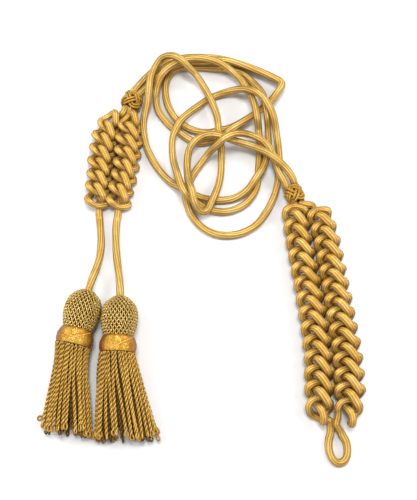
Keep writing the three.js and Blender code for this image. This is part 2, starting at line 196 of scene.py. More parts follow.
class MeshParts:
    """Gathers tubes and sheets, then makes one mesh of them."""

    def __init__(self):
        self.corners = []
        self.faces = []
        self.uvs = []
        self.count = 0

    def grid(self, corners, u, v):
        """A grid of corners, rows by columns, closed round, with its u across and its v along."""
        rows, columns = corners.shape[:2]
        index = np.arange(rows * columns).reshape(rows, columns) + self.count
        index = np.hstack([index, index[:, :1]])
        quads = np.stack([index[:-1, :-1], index[:-1, 1:], index[1:, 1:], index[1:, :-1]], axis=-1)
        uv_u = np.broadcast_to(u, (rows, index.shape[1]))
        uv_v = np.broadcast_to(np.asarray(v).reshape(rows, -1), (rows, index.shape[1]))
        uv = np.stack([uv_u, uv_v], axis=-1)
        uv_quads = np.stack([uv[:-1, :-1], uv[:-1, 1:], uv[1:, 1:], uv[1:, :-1]], axis=2)
        self.corners.append(corners.reshape(-1, 3))
        self.faces.append(quads.reshape(-1, 4))
        self.uvs.append(uv_quads.reshape(-1, 2))
        self.count += rows * columns

    def tube(self, line, radii, section, turn=0.0, caps=True, facing=None):
        """A tube with the given section, turned by so many radians for each millimetre.
        Where facing is given, the section starts on the side that faces that way."""
        ahead, across, up = frames_along(line)
        if facing is not None:
            across = facing - ahead * np.sum(facing * ahead, axis=1)[:, None]
            across /= np.linalg.norm(across, axis=1)[:, None]
            up = np.cross(ahead, across)
        along = lengths_along(line)
        radii = np.broadcast_to(radii, len(line)).copy()
        if caps:
            before = line[0] - ahead[0] * CAP_REACH * radii[0]
            after = line[-1] + ahead[-1] * CAP_REACH * radii[-1]
            line = np.vstack([before, line, after])
            across = np.vstack([across[:1], across, across[-1:]])
            up = np.vstack([up[:1], up, up[-1:]])
            radii = np.concatenate([[CAP_POINT * radii[0]], radii, [CAP_POINT * radii[-1]]])
            along = np.concatenate([[along[0]], along, [along[-1]]])
        angles = np.arange(len(section)) * 2 * math.pi / len(section)
        angle = angles[None, :] + (along * turn)[:, None]
        reach = radii[:, None] * section[None, :]
        corners = (line[:, None, :]
                   + across[:, None, :] * (reach * np.cos(angle))[:, :, None]
                   + up[:, None, :] * (reach * np.sin(angle))[:, :, None])
        self.grid(corners, np.linspace(0, 1, len(section) + 1), along * MM)

    def make(self, name, material):
        """One smooth mesh of all that was gathered, in the given material."""
        corners = np.vstack(self.corners)
        corners[:, 2] = np.maximum(corners[:, 2], LOWEST)
        corners *= MM
        faces = np.vstack(self.faces)
        mesh = bpy.data.meshes.new(name)
        mesh.vertices.add(len(corners))
        mesh.vertices.foreach_set("co", corners.astype(np.float32).ravel())
        mesh.loops.add(faces.size)
        mesh.loops.foreach_set("vertex_index", faces.astype(np.int32).ravel())
        mesh.polygons.add(len(faces))
        mesh.polygons.foreach_set("loop_start", np.arange(0, faces.size, 4, dtype=np.int32))
        mesh.polygons.foreach_set("loop_total", np.full(len(faces), 4, np.int32))
        mesh.polygons.foreach_set("use_smooth", np.ones(len(faces), bool))
        layer = mesh.uv_layers.new(name="surface")
        layer.data.foreach_set("uv", np.vstack(self.uvs).astype(np.float32).ravel())
        mesh.update(calc_edges=True)
        mesh.materials.append(material)
        piece = bpy.data.objects.new(name, mesh)
        bpy.context.scene.collection.objects.link(piece)
        return piece


def ribbed_section(ribs, per_rib, depth):
    """Reaches round a cord's section, as shares of its radius, with hollows between the ribs."""
    angle = np.arange(ribs * per_rib) / (ribs * per_rib) * ribs * math.pi
    return 1 - depth * (1 - np.abs(np.cos(angle)))


CORD_SECTION = ribbed_section(CORD_RIBS, SIDES_PER_RIB, RIB_DEPTH)


# Materials

WOBBLE_SCALE = 260.0
WOBBLE = 0.35  # how far the threads stray from even, in threads
CREVICE_POWER = 2.4  # the higher, the narrower the crevices between ribs
THREAD_RELIEF = 0.55
CREVICE_RELIEF = 0.45
THREAD_SHADE = 0.3  # share of the deep colour between two threads
RELIEF_DEPTH = 0.0002
END_FADE = 0.006  # length over which a plait's low shade begins
TONE_LOW = 0.32  # the noise from here to there is spread over the whole tone
TONE_HIGH = 0.68


def paint(red, green, blue):
    """A colour as a paint chart gives it, 0 to 255, for the shader."""
    shares = (red, green, blue)
    return tuple(((c / 255 + 0.055) / 1.055) ** 2.4 if c > 10 else c / 3294.6 for c in shares) + (1.0,)


class Wiring:
    """Adds nodes to a tree, each wired to the ones before it."""

    def __init__(self, tree):
        self.tree = tree

    def node(self, kind, **settings):
        made = self.tree.nodes.new("ShaderNode" + kind)
        for key, value in settings.items():
            setattr(made, key, value)
        return made

    def wire(self, source, target):
        self.tree.links.new(source, target)

    def value_or_wire(self, value, socket):
        if isinstance(value, bpy.types.NodeSocket):
            self.wire(value, socket)
        else:
            socket.default_value = value

    def math(self, operation, *values):
        made = self.node("Math", operation=operation)
        for value, socket in zip(values, made.inputs):
            self.value_or_wire(value, socket)
        return made.outputs[0]

    def mix(self, share, first, second):
        made = self.node("Mix", data_type="RGBA")
        self.value_or_wire(share, made.inputs[0])
        self.value_or_wire(first, made.inputs[6])
        self.value_or_wire(second, made.inputs[7])
        return made.outputs[2]

    def noise(self, scale, detail):
        made = self.node("TexNoise")
        made.inputs["Scale"].default_value = scale
        made.inputs["Detail"].default_value = detail
        self.wire(self.node("TexCoord").outputs["Object"], made.inputs["Vector"])
        return made.outputs["Fac"]

    def placed(self, group, values):
        """A shader node group put into this tree with its own values."""
        made = self.node("Group")
        made.node_tree = group
        for title, value in values.items():
            made.inputs[title].default_value = value
        return made


def new_group(name, inputs, outputs):
    """A shader node group whose inputs and outputs are named numbers."""
    tree = bpy.data.node_groups.new(name, "ShaderNodeTree")
    for title, start in inputs.items():
        socket = tree.interface.new_socket(name=title, in_out="INPUT", socket_type="NodeSocketFloat")
        socket.default_value = start
    for title in outputs:
        tree.interface.new_socket(name=title, in_out="OUTPUT", socket_type="NodeSocketFloat")
    return tree, Wiring(tree), tree.nodes.new("NodeGroupInput"), tree.nodes.new("NodeGroupOutput")


def thread_cover_group():
    """Fine threads laid slanting over each rib, leaning the other way on its neighbour."""
    tree, w, given, out = new_group(
        "thread_cover",
        {"Ribs": 9.0, "Threads per metre": 2200.0, "Slant": 1.0, "Alternate": 1.0},
        ["Height", "Crevice", "Thread"],
    )
    place = w.node("SeparateXYZ")
    w.wire(w.node("UVMap").outputs[0], place.inputs[0])
    ribs = w.math("MULTIPLY", place.outputs["X"], given.outputs["Ribs"])
    shifted = w.math("ADD", ribs, 0.5)
    number = w.math("FLOOR", shifted)
    local = w.math("SUBTRACT", w.math("FRACT", shifted), 0.5)
    odd = w.math("MULTIPLY", w.math("MODULO", number, 2.0), given.outputs["Alternate"])
    lean = w.math("SUBTRACT", 1.0, w.math("MULTIPLY", odd, 2.0))
    slanted = w.math("MULTIPLY", w.math("MULTIPLY", local, lean), given.outputs["Slant"])
    count = w.math("MULTIPLY", place.outputs["Y"], given.outputs["Threads per metre"])
    wobble = w.math("MULTIPLY", w.noise(WOBBLE_SCALE, 1.0), WOBBLE)
    phase = w.math("MULTIPLY", w.math("ADD", w.math("ADD", count, slanted), wobble), 2 * math.pi)
    thread = w.math("MULTIPLY_ADD", w.math("SINE", phase), 0.5, 0.5)
    edge = w.math("MULTIPLY", w.math("ABSOLUTE", local), 2.0)
    crevice = w.math("POWER", edge, CREVICE_POWER)
    raised = w.math("MULTIPLY", thread, THREAD_RELIEF)
    height = w.math("SUBTRACT", raised, w.math("MULTIPLY", crevice, CREVICE_RELIEF))
    w.wire(height, out.inputs["Height"])
    w.wire(crevice, out.inputs["Crevice"])
    w.wire(thread, out.inputs["Thread"])
    return tree


def uneven_tone_group():
    """Slow changes of tone along the goods and quick ones from thread to thread."""
    tree, w, given, out = new_group(
        "uneven_tone", {"Broad scale": 60.0, "Fine scale": 900.0, "Fine share": 0.4}, ["Tone"],
    )
    broad = w.node("TexNoise")
    fine = w.node("TexNoise")
    place = w.node("TexCoord").outputs["Object"]
    w.wire(place, broad.inputs["Vector"])
    w.wire(place, fine.inputs["Vector"])
    w.wire(given.outputs["Broad scale"], broad.inputs["Scale"])
    w.wire(given.outputs["Fine scale"], fine.inputs["Scale"])
    blend = w.node("Mix", data_type="FLOAT")
    w.wire(given.outputs["Fine share"], blend.inputs[0])
    w.wire(broad.outputs["Fac"], blend.inputs[2])
    w.wire(fine.outputs["Fac"], blend.inputs[3])
    w.wire(blend.outputs[0], out.inputs["Tone"])
    return tree


def low_shade_group():
    """Less light comes to what lies low between the rest, as far as the plait's end."""
    tree, w, given, out = new_group(
        "low_shade", {"Low": 0.003, "High": 0.01, "Plait end": 0.0, "Strength": 0.8}, ["Shade"],
    )
    place = w.node("SeparateXYZ")
    w.wire(w.node("TexCoord").outputs["Object"], place.inputs[0])
    height = w.node("MapRange", interpolation_type="SMOOTHSTEP")
    w.wire(place.outputs["Z"], height.inputs["Value"])
    w.wire(given.outputs["Low"], height.inputs["From Min"])
    w.wire(given.outputs["High"], height.inputs["From Max"])
    height.inputs["To Min"].default_value = 1
    height.inputs["To Max"].default_value = 0
    inside = w.node("MapRange", interpolation_type="SMOOTHSTEP")
    w.wire(place.outputs["Y"], inside.inputs["Value"])
    w.wire(given.outputs["Plait end"], inside.inputs["From Min"])
    w.wire(w.math("ADD", given.outputs["Plait end"], END_FADE), inside.inputs["From Max"])
    shade = w.math("MULTIPLY", height.outputs[0], inside.outputs[0])
    w.wire(w.math("MULTIPLY", shade, given.outputs["Strength"]), out.inputs["Shade"])
    return tree


THREAD_COVER = thread_cover_group()
UNEVEN_TONE = uneven_tone_group()
LOW_SHADE = low_shade_group()


def thread_material(
    name, colours, cover, tone, roughness, metallic, bump, crevice_shade=0.9, rim=0.55, rim_width=2.0, gloss=0.3,
    low=None,
):
    """Thread goods: deep, main and light colour, with the thread cover and uneven tone.
    The threads shade one another at the rim, where the eye looks along them."""
    deep, main, light = colours
    material = bpy.data.materials.new(name)
    material.use_nodes = True
    w = Wiring(material.node_tree)
    shader = material.node_tree.nodes["Principled BSDF"]
    threads = w.placed(THREAD_COVER, cover)
    uneven = w.placed(UNEVEN_TONE, tone)
    spread = w.node("MapRange")
    w.wire(uneven.outputs["Tone"], spread.inputs["Value"])
    spread.inputs["From Min"].default_value = TONE_LOW
    spread.inputs["From Max"].default_value = TONE_HIGH
    body = w.mix(spread.outputs[0], main, light)
    # Painted shade: the grooves between the threads are mixed toward the deep colour.
    between = w.math("SUBTRACT", 1.0, threads.outputs["Thread"])
    body = w.mix(w.math("MULTIPLY", between, THREAD_SHADE), body, deep)
    # Painted shade: the crevices between the ribs are mixed toward the deep colour.
    body = w.mix(w.math("MULTIPLY", threads.outputs["Crevice"], crevice_shade), body, deep)
    # Painted shade at the rim: darker where the surface turns away from the eye, as on the bands' sides.
    view = w.node("LayerWeight")
    view.inputs["Blend"].default_value = 0.5
    edge = w.math("POWER", view.outputs["Facing"], rim_width)
    body = w.mix(w.math("MULTIPLY", edge, rim), body, deep)
    if low:
        body = w.mix(w.placed(LOW_SHADE, low).outputs[0], body, deep)
    w.wire(body, shader.inputs["Base Color"])
    rough = w.math("MULTIPLY_ADD", threads.outputs["Crevice"], 0.25, roughness)
    w.wire(rough, shader.inputs["Roughness"])
    shader.inputs["Metallic"].default_value = metallic
    shader.inputs["Specular IOR Level"].default_value = gloss
    relief = w.node("Bump")
    relief.inputs["Strength"].default_value = bump
    relief.inputs["Distance"].default_value = RELIEF_DEPTH
    w.wire(threads.outputs["Height"], relief.inputs["Height"])
    w.wire(relief.outputs[0], shader.inputs["Normal"])
    return material


CORD_COVER = {"Ribs": float(CORD_RIBS), "Threads per metre": 2100.0, "Slant": 1.1, "Alternate": 1.0}
CORD_TONE = {"Broad scale": 70.0, "Fine scale": 1200.0, "Fine share": 0.45}
THIN_COVER = {"Ribs": 2.0, "Threads per metre": 1800.0, "Slant": 1.0, "Alternate": 0.0}
THIN_TONE = {"Broad scale": 120.0, "Fine scale": 1500.0, "Fine share": 0.6}
FRINGE_COVER = {"Ribs": 2.0, "Threads per metre": 1500.0, "Slant": 1.0, "Alternate": 0.0}
SOFT_TONE = {"Broad scale": 80.0, "Fine scale": 1200.0, "Fine share": 0.5}


def plait_cord(name, end, shade):
    """The cord of a plait, whose low parts lie in shade as far as the plait's end."""
    return thread_material(
        name, (paint(88, 42, 0), paint(220, 168, 64), paint(250, 212, 122)), CORD_COVER, CORD_TONE,
        roughness=0.32, metallic=0.5, bump=0.8, crevice_shade=0.7, rim=0.7,
        low={"Low": 0.003, "High": 0.01, "Plait end": end, "Strength": shade},
    )


GOLD_CORD = thread_material(
    "gold_cord", (paint(92, 50, 0), paint(214, 166, 66), paint(250, 216, 132)), CORD_COVER, CORD_TONE,
    roughness=0.3, metallic=0.5, bump=0.8, crevice_shade=0.75, rim=1.05,
)
LONG_PLAIT_CORD = plait_cord("long_plait_cord", -0.105, 0.8)
SHORT_PLAIT_CORD = plait_cord("short_plait_cord", 0.043, 0.45)
KNOT_CORD = thread_material(
    "knot_cord",
    (paint(92, 50, 0), paint(200, 148, 52), paint(224, 178, 82)),
    {"Ribs": 3.0, "Threads per metre": 1700.0, "Slant": 1.5, "Alternate": 0.0},
    {"Broad scale": 90.0, "Fine scale": 1300.0, "Fine share": 0.5},
    roughness=0.38, metallic=0.45, bump=0.8, crevice_shade=0.6, rim=0.4,
)
STITCH_CORD = thread_material(
    "crochet_thread", (paint(66, 36, 0), paint(222, 176, 80), paint(252, 220, 134)), THIN_COVER, THIN_TONE,
    roughness=0.24, metallic=0.55, bump=0.6, crevice_shade=0.5, rim=0.75, gloss=0.5,
)
FRINGE_THREAD = thread_material(
    "fringe_thread", (paint(44, 22, 0), paint(202, 152, 58), paint(232, 188, 96)), FRINGE_COVER, SOFT_TONE,
    roughness=0.42, metallic=0.35, bump=0.6, crevice_shade=0.5, rim=0.85,
)
# The fringe thread painted darker, as painted shade on the inner row of strands.
SHADED_FRINGE_THREAD = thread_material(
    "shaded_fringe_thread", (paint(30, 14, 0), paint(112, 74, 18), paint(136, 96, 32)),
    FRINGE_COVER, SOFT_TONE,
    roughness=0.6, metallic=0.1, bump=0.6, crevice_shade=0.5, rim=0.8,
)
# Dark cores under the knots and heads; the same colour inside each skirt is painted shade.
DARK_CORE_AND_PAINTED_SHADE = thread_material(
    "dark_core_and_painted_shade",
    (paint(40, 22, 4), paint(74, 46, 12), paint(92, 60, 20)),
    {"Ribs": 60.0, "Threads per metre": 900.0, "Slant": 0.5, "Alternate": 0.0}, SOFT_TONE,
    roughness=0.8, metallic=0.0, bump=0.5,
)
SATIN_THREAD = thread_material(
    "satin_thread",
    (paint(112, 46, 0), paint(176, 114, 16), paint(232, 194, 92)),
    {"Ribs": 1.0, "Threads per metre": 1900.0, "Slant": 6.0, "Alternate": 0.0},
    {"Broad scale": 170.0, "Fine scale": 700.0, "Fine share": 0.5},
    roughness=0.26, metallic=0.5, bump=0.7, crevice_shade=0.0, rim=1.3, rim_width=1.2, gloss=0.1,
)
CROSSING_THREAD = thread_material(
    "crossing_thread", (paint(170, 100, 20), paint(238, 186, 96), paint(250, 214, 140)),
    THIN_COVER, THIN_TONE,
    roughness=0.35, metallic=0.3, bump=0.3, crevice_shade=0.0, rim=0.2,
)


# The two runs of the coil and the drops, from slider to slider and from plait to tassel

RUN_A = [
    [56.5, 45.5, 6.5], [55, 49, 7.5], [51, 55.5, 9], [48.5, 64, 8], [45, 73, 9.5], [38, 80.5, 10],
    [29, 83.5, 11.5], [20, 81, 18.5], [12.5, 77, 21], [6.5, 73.5, 16], [-0.5, 70.5, 6.5],
    [-7.5, 62, 2.5], [-13, 52.5, 2.5], [-16.5, 43.5, 2.5], [-15.5, 34, 2.5], [-11.5, 24, 2.5],
    [-3, 15, 2.5], [8, 10.5, 2.5], [21, 11, 2.5], [33, 17, 2.5], [42, 28, 2.5], [48, 41, 2.5],
    [51.5, 56.5, 2.5], [52, 72.5, 2.5], [50, 86, 6.5], [47, 96, 15.5], [43, 103.5, 19],
    [39, 109.5, 19], [33.5, 115, 17], [26, 119.5, 12], [15.5, 121.5, 5], [2.5, 118, 2.5],
    [-8.5, 109, 4.5], [-18, 99, 8], [-23, 91.5, 8.5], [-26.5, 82, 6.5], [-26, 68.5, 5],
    [-22, 51.5, 13], [-18, 40, 15], [-12, 34.5, 10.5], [-5.5, 31.5, 5], [4, 28.5, 2.5],
    [15.5, 28.5, 2.5], [27, 34, 2.5], [34.5, 45, 2.5], [36.5, 58.5, 2.5], [37.5, 75.5, 2.5],
    [37, 89.5, 5.5], [35.5, 96, 13.5], [33.5, 107, 13.5], [30, 120, 8], [24.5, 130.5, 5.5],
    [18.5, 135.5, 8], [12, 139.5, 10.5], [3.5, 142, 13.5], [-7.5, 144, 13.5], [-19, 142.5, 13.5],
    [-27, 138.5, 13], [-33.5, 133, 12], [-37.5, 127.5, 8], [-39.5, 118.5, 2.5], [-37.5, 107, 2.5],
    [-30, 96.5, 2.5], [-19.5, 87.5, 2.5], [-8.5, 81.5, 2.5], [2, 83, 2.5], [9.5, 85.5, 3.5],
    [17.5, 90, 8], [32, 100, 8], [44.5, 110, 8], [51.5, 119.5, 8], [54.5, 125.5, 8], [52.5, 129, 8],
    [40, 135.5, 8], [25, 142, 8], [12.5, 145.5, 8], [-2, 144.5, 8], [-16, 144.5, 8], [-26.5, 141, 8],
    [-34, 136.5, 7], [-42, 129.5, 3], [-47, 124.5, 4.5], [-51.2, 118.4, 6.7],
]
RUN_B = [
    [61.7, 48.3, 6.8], [60, 52, 9], [55.5, 57.5, 11.5], [49, 62.5, 15], [42, 69, 13], [33, 75, 9],
    [23.5, 78, 10], [15.5, 78.5, 14], [9.5, 80.5, 15.5], [2.5, 83, 13], [-4, 83.5, 9],
    [-10, 79.5, 9], [-14.5, 73, 5.5], [-15.5, 61.5, 6.5], [-14.5, 49, 11.5], [-11.5, 38.5, 17],
    [-10, 31, 16], [-7, 27, 11], [-4, 25.5, 9], [-0.5, 27.5, 9], [2, 32.5, 9.5], [5.5, 41.5, 7],
    [8.5, 53.5, 3], [9.5, 67.5, 3], [9, 77, 9], [7.5, 87, 9.5], [6.5, 99.5, 6.5], [3, 110, 8],
    [-2, 120.5, 8.5], [-8.5, 130.5, 10.5], [-15, 135, 16.5], [-20.5, 139.5, 19.5], [-27.5, 144, 17],
    [-34.5, 146.5, 10], [-39.5, 140.5, 9], [-43, 130, 10], [-44, 120.5, 11.5], [-45.5, 111.5, 6.5],
    [-48.5, 96.5, 2.5], [-45.5, 77.5, 2.5], [-37.5, 62, 2.5], [-28, 50.5, 3.5], [-19.5, 43.5, 9],
    [-12, 40, 7], [-4, 38, 3], [7.5, 36.5, 2.5], [18.5, 38, 2.5], [28, 43.5, 5], [34.5, 51.5, 9],
    [40.5, 62, 7], [44, 76.5, 2.5], [44, 89.5, 4.5], [43, 97.5, 12], [41.5, 108, 13.5],
    [39, 118, 10.5], [33.5, 128.5, 5], [26.5, 137, 2.5], [18, 140, 2.5], [5.5, 142, 2.5],
    [-8.5, 143, 2.5], [-19.5, 142.5, 2.5], [-26.5, 140, 2.5], [-31, 133.5, 2.5], [-32.5, 123, 2.5],
    [-30, 110.5, 2.5], [-22.5, 98.5, 2.5], [-12, 91.5, 2.5], [-1, 89.5, 2.5], [9, 91.5, 2.5],
    [18, 94, 2.5], [32.5, 103, 2.5], [45, 113, 2.5], [52, 122.5, 2.5], [55.5, 128.5, 2.5],
    [53, 132.5, 2.5], [40.5, 138.5, 2.5], [25.5, 145, 2.5], [10.5, 150, 2.5], [-5, 151.5, 2.5],
    [-18.5, 151, 2.5], [-29.5, 148, 2.5], [-38, 143, 2.5], [-45.5, 136, 2.5], [-50.5, 129.5, 4],
    [-56.1, 120.4, 6.7],
]
DROP_LEFT = [
    [-78.4, 23.8, 2.4], [-77.5, 16, 2.4], [-76.5, 6, 2.4], [-77, -4, 2.4], [-79, -14, 3.6],
    [-81, -23, 8], [-82.4, -31, 12.2],
]
DROP_RIGHT = [
    [-65.7, 22.8, 2.4], [-66.3, 15, 2.4], [-66, 4, 2.4], [-64.8, -8, 2.4], [-63, -19, 4],
    [-61.6, -28, 8.5], [-60.6, -35.2, 12.2],
]
BUTTON_LOOP = [
    [81.7, -124.9, 2.7], [81.4, -127.7, 2.4], [80.4, -131, 2.4], [79.9, -135.5, 2.4], [80.6, -140.4, 2.4],
    [82.9, -144.7, 2.4], [86.3, -146.6, 2.4], [89.8, -145.3, 2.4], [92, -141.2, 2.4], [92.2, -136, 2.4],
    [91.2, -132, 2.4], [89.6, -129.4, 2.4], [88.5, -127, 2.7],
]


def cord_piece(name, points, node, turn, tucks, rise=1.0):
    """A covered cord through the points, in place of its plain tube."""
    line = even_line(smooth_line(points, 8), COIL_STEP) + SHIFT
    line[:, 2] = np.maximum(line[:, 2] * rise, FREE_CORD / 2)
    parts = MeshParts()
    parts.tube(*tucked(line, FREE_CORD / 2, tucks), CORD_SECTION, turn)
    piece = parts.make(name, GOLD_CORD)
    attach(piece, "root")
    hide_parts(node)
    return piece, line * MM


def free_cord(name, points, node, turn, tucks, rise=1.0):
    """A cord piece that lies free between its two ends."""
    piece, line = cord_piece(name, points, node, turn, tucks, rise)


COIL_RISE = FREE_CORD / CORD  # the fuller cords lie as much higher on one another
free_cord("coil_run_a", RUN_A, "cord_run_a", 0.02, (2.5, 2.5), COIL_RISE)
free_cord("coil_run_b", RUN_B, "cord_run_b", -0.02, (2.5, 2.5), COIL_RISE)
free_cord("left_drop", DROP_LEFT, "drop_cord_left", 0.03, (0, 2))
free_cord("right_drop", DROP_RIGHT, "drop_cord_right", -0.03, (0, 2))
cord_piece("shoulder_loop", BUTTON_LOOP, "button_loop", 0.03, (0, 0))


# Chain plaits. Columns: along the plait, across it, up from its middle, thickness.

LINK = [
    [-0.02, 0.66, -0.3, 0.74],
    [0.06, 0.68, 0.55, 0.84],
    [0.45, 0.42, 1.02, 1.15],
    [1.65, -0.42, 1.02, 1.15],
    [2.04, -0.68, 0.55, 0.84],
    [2.1, -0.66, -0.35, 0.74],
    [3.35, -0.78, -1.16, 0.86],
    [4.05, -1.58, -0.62, 0.97],
    [4.78, -1.48, 0, 0.92],
    [5.22, 0, -0.12, 0.8],
    [4.78, 1.48, 0, 0.92],
    [4.05, 1.58, -0.62, 0.97],
    [3.35, 0.78, -1.16, 0.86],
]
LOOP_ROWS = LINK[6:]
ENTRY_NEAR = [
    [-2.3, -1.2, -1.3, 0.95],
    [-1.5, -1.1, -1.2, 0.9],
]
ENTRY_FAR = [
    [-2, 1.6, -0.9, 0.95],
    [-1.75, 0.85, -1.3, 0.9],
    [-1.45, 0.05, -1.4, 0.85],
    [-1.15, -0.65, -1.35, 0.85],
]
ENTRY_TOP = [
    [-2.3, 0.1, -1, 0.95],
    [-1.75, -0.25, -1.4, 0.9],
    [-1.25, -0.7, -1.4, 0.85],
]
FIRST_LOOP = [
    [-0.7, -1.15, -0.95, 0.85],
    [-0.1, -1.45, -0.5, 0.85],
    [0.6, -1.2, -0.1, 0.76],
    [1, 0, -0.1, 0.76],
    [0.6, 1.2, -0.1, 0.76],
    [-0.1, 1.45, -0.5, 0.85],
    [-0.7, 1.1, -0.75, 0.85],
    [-1.35, 0.6, -0.45, 0.85],
    [-1.95, 0.25, -0.25, 0.95],
    [-2.2, 0.1, 0.35, 1],
    [-1.75, -0.05, 0.85, 1],
    [-1, -0.25, 0.95, 1],
    [-0.4, -0.5, 0.7, 0.85],
    [0, -0.5, -0.35, 0.74],
]


def plait_place(axis, along_axis, row, unit, roll, width):
    """A row of a link table, placed on the plait's middle line."""
    reach = along_axis[-1]
    along = row[0] * unit
    held = min(max(along, 0.0), reach)
    share = held / reach
    base = np.array([np.interp(held, along_axis, axis[:, k]) for k in range(3)])
    i = min(max(int(np.searchsorted(along_axis, held)), 1), len(axis) - 1)
    ahead = axis[i] - axis[i - 1]
    ahead[2] = 0
    ahead /= np.linalg.norm(ahead)
    base += ahead * (along - held)
    side = np.array([ahead[1], -ahead[0], 0])
    across = row[1] * (width[0] + (width[1] - width[0]) * share)
    turn = math.radians(roll)
    base += side * unit * (across * math.cos(turn) + row[2] * math.sin(turn))
    base[2] += unit * (row[2] * math.cos(turn) - across * math.sin(turn))
    base[2] = max(base[2], row[3] * unit / 2)
    return base


def chain_plait(name, node, unit, roll, width, links, material, entry, middle, lead, tail, tucks):
    """One cord worked into a chain: each bar comes up through a loop and goes into the next."""
    axis = smooth_line(middle, 12)
    along_axis = lengths_along(axis)
    rows = [*entry, *FIRST_LOOP]
    rows += [[r[0] - LINK_PITCH, *r[1:]] for r in LOOP_ROWS]
    for link in range(links):
        rows += [[r[0] + link * LINK_PITCH, *r[1:]] for r in LINK]
    rows = rows[:-len(LOOP_ROWS)]
    points = [[*p, FREE_CORD] for p in lead]
    points += [[*plait_place(axis, along_axis, r, unit, roll, width), r[3] * unit] for r in rows]
    points += [p if len(p) == 4 else [*p, CORD] for p in tail]
    line = even_line(smooth_line(points, 8), PLAIT_STEP)
    radii = line[:, 3] / 2
    fullness = np.interp(line[:, 2], FULLNESS_HEIGHTS, FULLNESS)
    radii = np.where(radii < CORD / 2 * 0.99, np.minimum(radii * fullness, CORD / 2 * FULLEST), radii)
    line[:, 2] = np.maximum(line[:, 2], np.minimum(radii, FREE_CORD / 2))
    parts = MeshParts()
    parts.tube(*tucked(line[:, :3] + SHIFT, radii, tucks), CORD_SECTION, 0.012)
    piece = parts.make(name, material)
    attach(piece, "root")
    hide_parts(node)


RIGHT_PLAIT = {
    "unit": RIGHT_PLAIT_CORD, "roll": RIGHT_PLAIT_ROLL, "width": (1.12, 0.94), "links": RIGHT_LINKS,
    "tucks": (3, 2.5), "material": LONG_PLAIT_CORD,
}
LEFT_PLAIT = {
    "unit": LEFT_PLAIT_CORD, "roll": LEFT_PLAIT_ROLL, "width": (1.14, 0.93), "links": LEFT_LINKS,
    "tucks": (2.5, 3), "material": SHORT_PLAIT_CORD,
}
chain_plait(
    "long_chain_left", "right_plait_left", **RIGHT_PLAIT, entry=ENTRY_FAR,
    middle=[
        [75, -109.5, 9], [75.5, -95, 9], [75.5, -80, 9], [74.5, -64, 9], [72.5, -48, 9],
        [70, -30, 9], [67.3, -12.5, 9], [64.6, 5, 9], [62.9, 19, 9], [62.2, 30, 9],
    ],
    lead=[[81.6, -124, 2.8]],
    tail=[[63.4, 26.5, 6, 3.6], [62.6, 30.3, 6.3, 4.2], [61.9, 32.2, 6.4, 4.6]],
)
chain_plait(
    "long_chain_right", "right_plait_right", **RIGHT_PLAIT, entry=ENTRY_NEAR,
    middle=[
        [94.5, -111, 9], [95.3, -100, 9], [95.3, -87.5, 9], [94.5, -72, 9], [92.5, -56, 9],
        [90.3, -38.5, 9], [87.8, -22, 9], [85.5, -5.5, 9], [83.1, 10, 9], [79.4, 24, 9], [76.8, 31, 9],
    ],
    lead=[[88.3, -126.4, 2.8]],
    tail=[[76.4, 27, 4.5, 3.6], [74.6, 31.5, 5, 4.2], [71, 31.8, 6, 4.6], [67.5, 32.6, 6.4, 4.6]],
)
chain_plait(
    "short_chain_left", "left_plait_left", **LEFT_PLAIT, entry=ENTRY_NEAR,
    middle=[
        [-72.5, 93, 7.2], [-75.2, 83, 7.2], [-76.7, 73.5, 7.2], [-77.8, 64, 7.2], [-78.3, 52, 7.2],
        [-79.3, 41, 7.2], [-79, 28, 7.2],
    ],
    lead=[[-61.7, 106.7, 7.2], [-64.3, 102.8, 5.6]],
    tail=[[-79, 41, 3, 3.4], [-78.9, 34.5, 2.1, 3.8], [-78.8, 27.5, 2.4, 4.4], [-78.6, 24.5, 2.4, 4.6]],
)
chain_plait(
    "short_chain_right", "left_plait_right", **LEFT_PLAIT, entry=ENTRY_TOP,
    middle=[
        [-57.3, 92.5, 7.2], [-57.9, 81.5, 7.2], [-58.7, 69, 7.2], [-59.8, 58, 7.2], [-61.4, 49.5, 7.2],
        [-63.3, 39.5, 7.2], [-64.4, 27.5, 7.2],
    ],
    lead=[[-57.9, 104.8, 7], [-58.4, 102.6, 6]],
    tail=[[-63.8, 40, 3, 3.4], [-64.6, 33.5, 2.1, 3.8], [-65.2, 26.5, 2.4, 4.4], [-65.5, 23.5, 2.4, 4.6]],
)


# Bodies on a level axis: sliders, heads and bands

class LevelAxis:
    """Places a point given along, round and out from a level axis that lies above the table."""

    def __init__(self, start, direction, height):
        length = math.hypot(*direction)
        self.axis = np.array([direction[0] / length, direction[1] / length, 0])
        self.side = np.cross(self.axis, (0, 0, 1.0))
        self.start = np.array([start[0], start[1], height]) + SHIFT

    def place(self, along, turn, out, lowest=0.05):
        along, turn, out = np.broadcast_arrays(along, turn, out)
        spots = (self.start + self.axis * along[..., None]
                 + self.side * (out * np.sin(turn))[..., None]
                 + np.array([0, 0, 1.0]) * (out * np.cos(turn))[..., None])
        spots[..., 2] = np.maximum(spots[..., 2], lowest)
        return spots


def outline_at(profile, size, share):
    """The radius of a turned form at a share of its length."""
    shares, outs = zip(*profile)
    return np.interp(share, shares, outs) * size["diameter"] / 2


def turned(parts, axis, along, out, sides):
    """A turned surface along the axis, closed at both ends."""
    along = np.concatenate([[along[0]], along, [along[-1]]])
    out = np.concatenate([[0.01], out, [0.01]])
    turn = np.linspace(0, 2 * math.pi, sides, endpoint=False)
    corners = axis.place(along[:, None], turn[None, :], out[:, None])
    parts.grid(corners, np.linspace(0, 1, sides + 1), along * MM)


def slider_profile(mouth):
    """Shares of the length and of the radius, from a mouth over the belly to the other mouth."""
    return [(0, mouth), (0.18, 0.5 + mouth / 2), (0.36, 1), (0.64, 1), (0.82, 0.5 + mouth / 2), (1, mouth)]


